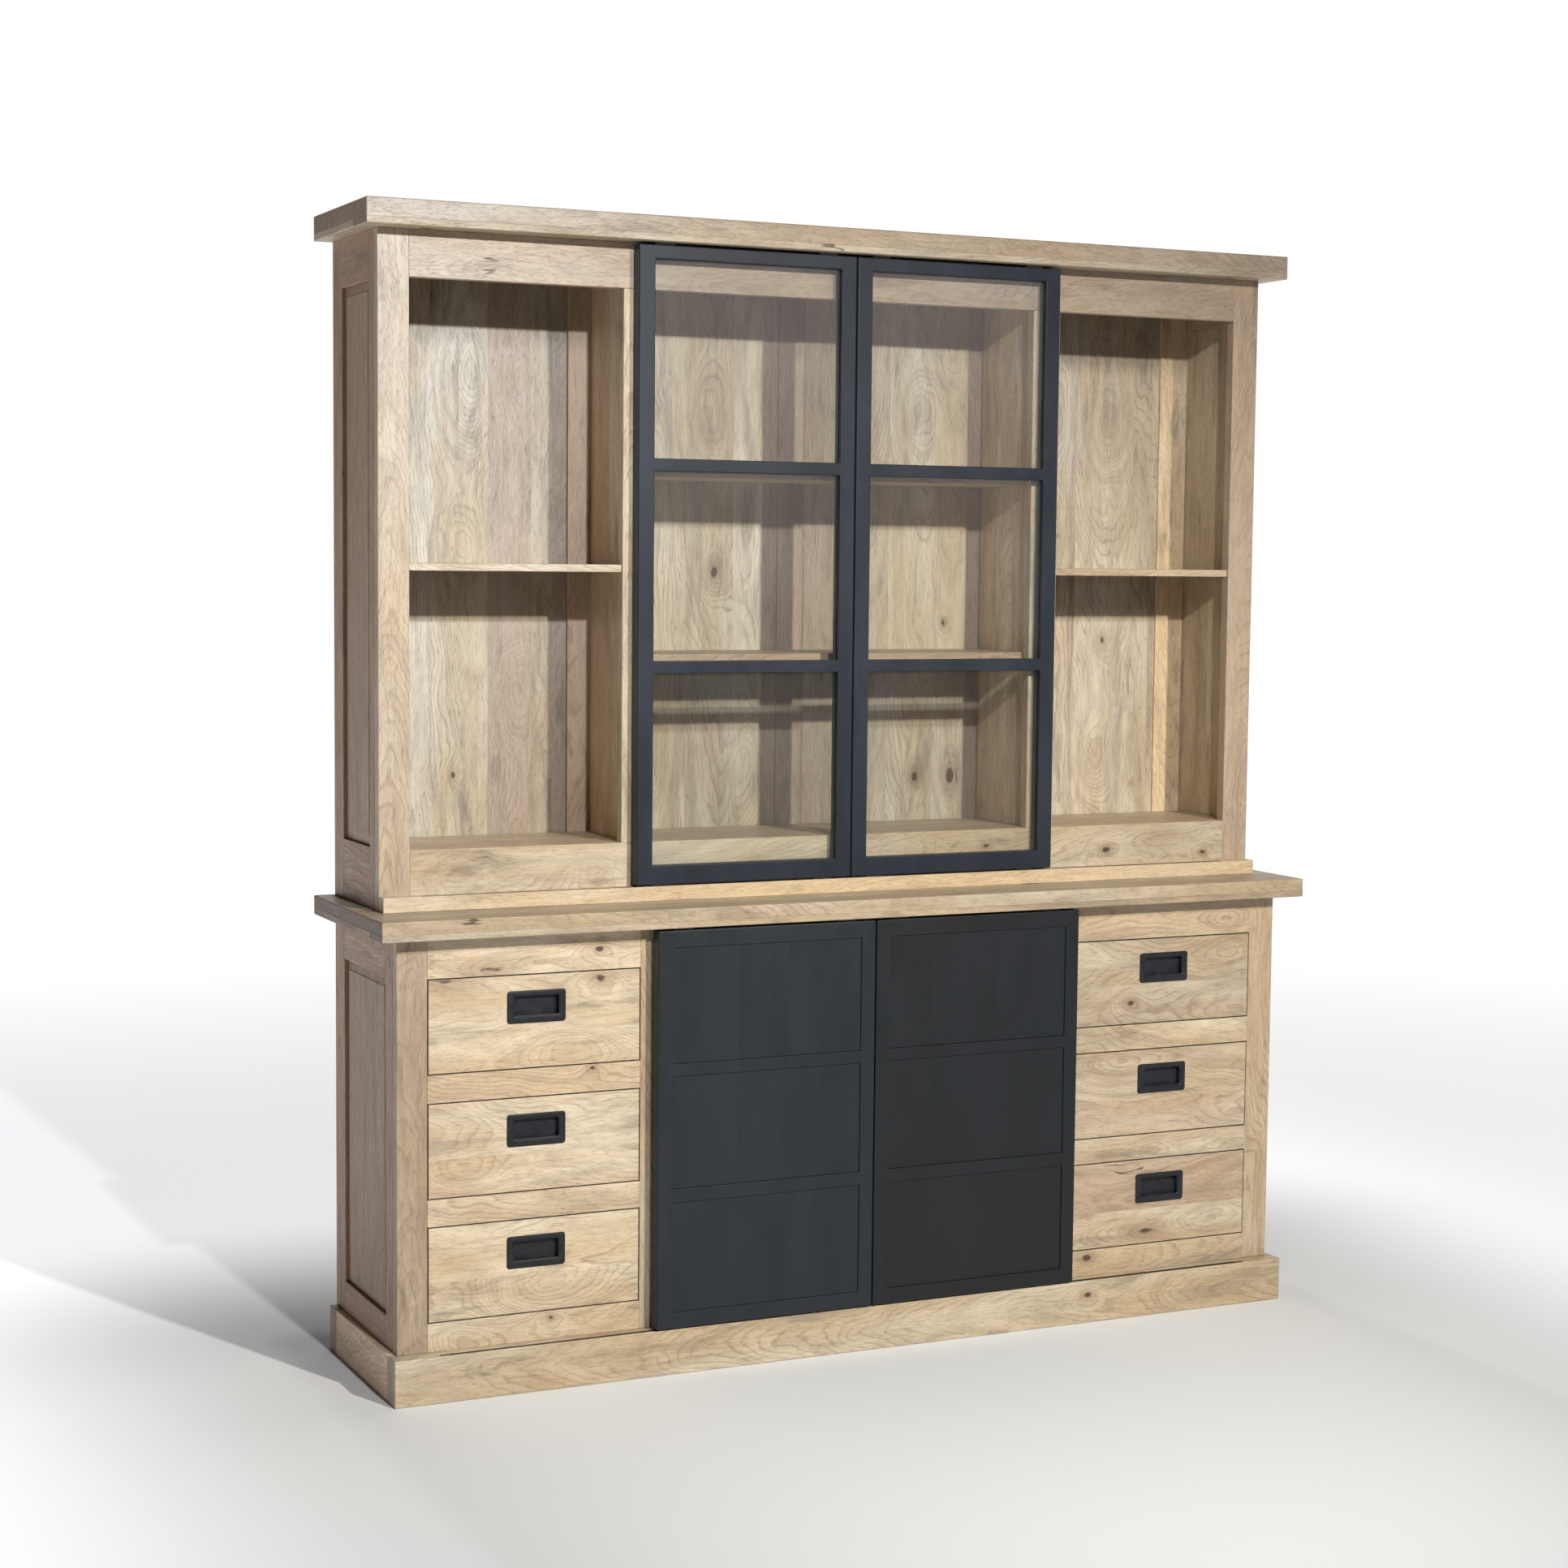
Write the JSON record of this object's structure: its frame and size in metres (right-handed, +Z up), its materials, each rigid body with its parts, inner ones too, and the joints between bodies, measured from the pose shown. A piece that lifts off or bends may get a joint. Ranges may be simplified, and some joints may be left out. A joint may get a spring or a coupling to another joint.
{
  "type": "display cabinet",
  "caption": "Two-part wooden display cabinet: lower carcass with flush-pull drawers and painted sliding doors, upper carcass with open niches and glazed sliding doors.",
  "frame": {"origin": "centre of the cabinet's footprint box, on the floor", "axes": "+Z up, front faces -Y, +X to the right seen from the front"},
  "size_m": [2.095, 0.47, 2.3005],
  "materials": {
    "wood_body": "matt oiled, planked grain with knots and small cracks",
    "wood_back": "matt oiled boards inside the cabinet",
    "wood_drawer_box": "plain sanded",
    "paint_slate": "satin slate blue-grey paint on wood",
    "paint_charcoal": "satin charcoal paint on wood",
    "pull_metal": "near-black powder coat",
    "pane_glass": "clear",
    "nylon": "natural nylon",
    "track": "anodised"
  },
  "bodies": {
    "carcass": {"cornice_board": "wood_body", "cornice_lipping": "wood_body", "hutch_side_frames": "wood_body", "hutch_side_panels": "wood_body", "hutch_face_stiles": "wood_body", "hutch_face_rails": "wood_body", "hutch_partitions": "wood_body", "hutch_floor_board": "wood_body", "hutch_ceiling_board": "wood_body", "hutch_back_panels": "wood_back", "hutch_back_posts": "wood_body", "niche_shelves": "wood_body", "display_shelves": "wood_body", "hutch_base_strip": "wood_body", "door_tracks": "track", "door_guides": "track", "buffet_top_board": "wood_body", "buffet_top_lipping": "wood_body", "plinth_frame": "wood_body", "buffet_side_frames": "wood_body", "buffet_side_panels": "wood_body", "buffet_face_stiles": "wood_body", "buffet_face_rails": "wood_body", "buffet_partitions": "wood_body", "buffet_floor_board": "wood_body", "buffet_back_panel": "wood_back", "drawer_runners": "wood_drawer_box", "buffet_shelf": "wood_body"},
    "drawer_left_top": {"drawer_left_top_front": "wood_body", "drawer_left_top_box": "wood_drawer_box", "drawer_left_top_pull": "pull_metal"},
    "drawer_left_middle": {"drawer_left_middle_front": "wood_body", "drawer_left_middle_box": "wood_drawer_box", "drawer_left_middle_pull": "pull_metal"},
    "drawer_left_bottom": {"drawer_left_bottom_front": "wood_body", "drawer_left_bottom_box": "wood_drawer_box", "drawer_left_bottom_pull": "pull_metal"},
    "drawer_right_top": {"drawer_right_top_front": "wood_body", "drawer_right_top_box": "wood_drawer_box", "drawer_right_top_pull": "pull_metal"},
    "drawer_right_middle": {"drawer_right_middle_front": "wood_body", "drawer_right_middle_box": "wood_drawer_box", "drawer_right_middle_pull": "pull_metal"},
    "drawer_right_bottom": {"drawer_right_bottom_front": "wood_body", "drawer_right_bottom_box": "wood_drawer_box", "drawer_right_bottom_pull": "pull_metal"},
    "upper_door_left": {"upper_door_left_frame": "paint_slate", "upper_door_left_glass": "pane_glass", "upper_door_left_beads": "paint_slate", "upper_door_left_glides": "nylon"},
    "lower_door_left": {"lower_door_left_frame": "paint_charcoal", "lower_door_left_panels": "paint_charcoal", "lower_door_left_glides": "nylon"},
    "upper_door_right": {"upper_door_right_frame": "paint_slate", "upper_door_right_glass": "pane_glass", "upper_door_right_beads": "paint_slate", "upper_door_right_glides": "nylon"},
    "lower_door_right": {"lower_door_right_frame": "paint_charcoal", "lower_door_right_panels": "paint_charcoal", "lower_door_right_glides": "nylon"}
  },
  "joints": [
    {"name": "drawer_left_top_slide", "type": "slide", "parent": "carcass", "child": "drawer_left_top", "axis": [0, -1, 0], "range_m": [0, 0.28]},
    {"name": "drawer_left_middle_slide", "type": "slide", "parent": "carcass", "child": "drawer_left_middle", "axis": [0, -1, 0], "range_m": [0, 0.28]},
    {"name": "drawer_left_bottom_slide", "type": "slide", "parent": "carcass", "child": "drawer_left_bottom", "axis": [0, -1, 0], "range_m": [0, 0.28]},
    {"name": "drawer_right_top_slide", "type": "slide", "parent": "carcass", "child": "drawer_right_top", "axis": [0, -1, 0], "range_m": [0, 0.28]},
    {"name": "drawer_right_middle_slide", "type": "slide", "parent": "carcass", "child": "drawer_right_middle", "axis": [0, -1, 0], "range_m": [0, 0.28]},
    {"name": "drawer_right_bottom_slide", "type": "slide", "parent": "carcass", "child": "drawer_right_bottom", "axis": [0, -1, 0], "range_m": [0, 0.28]},
    {"name": "upper_door_left_slide", "type": "slide", "parent": "carcass", "child": "upper_door_left", "axis": [1, 0, 0], "range_m": [-0.46, 0]},
    {"name": "lower_door_left_slide", "type": "slide", "parent": "carcass", "child": "lower_door_left", "axis": [1, 0, 0], "range_m": [-0.46, 0]},
    {"name": "upper_door_right_slide", "type": "slide", "parent": "carcass", "child": "upper_door_right", "axis": [-1, 0, 0], "range_m": [-0.46, 0]},
    {"name": "lower_door_right_slide", "type": "slide", "parent": "carcass", "child": "lower_door_right", "axis": [-1, 0, 0], "range_m": [-0.46, 0]}
  ]
}
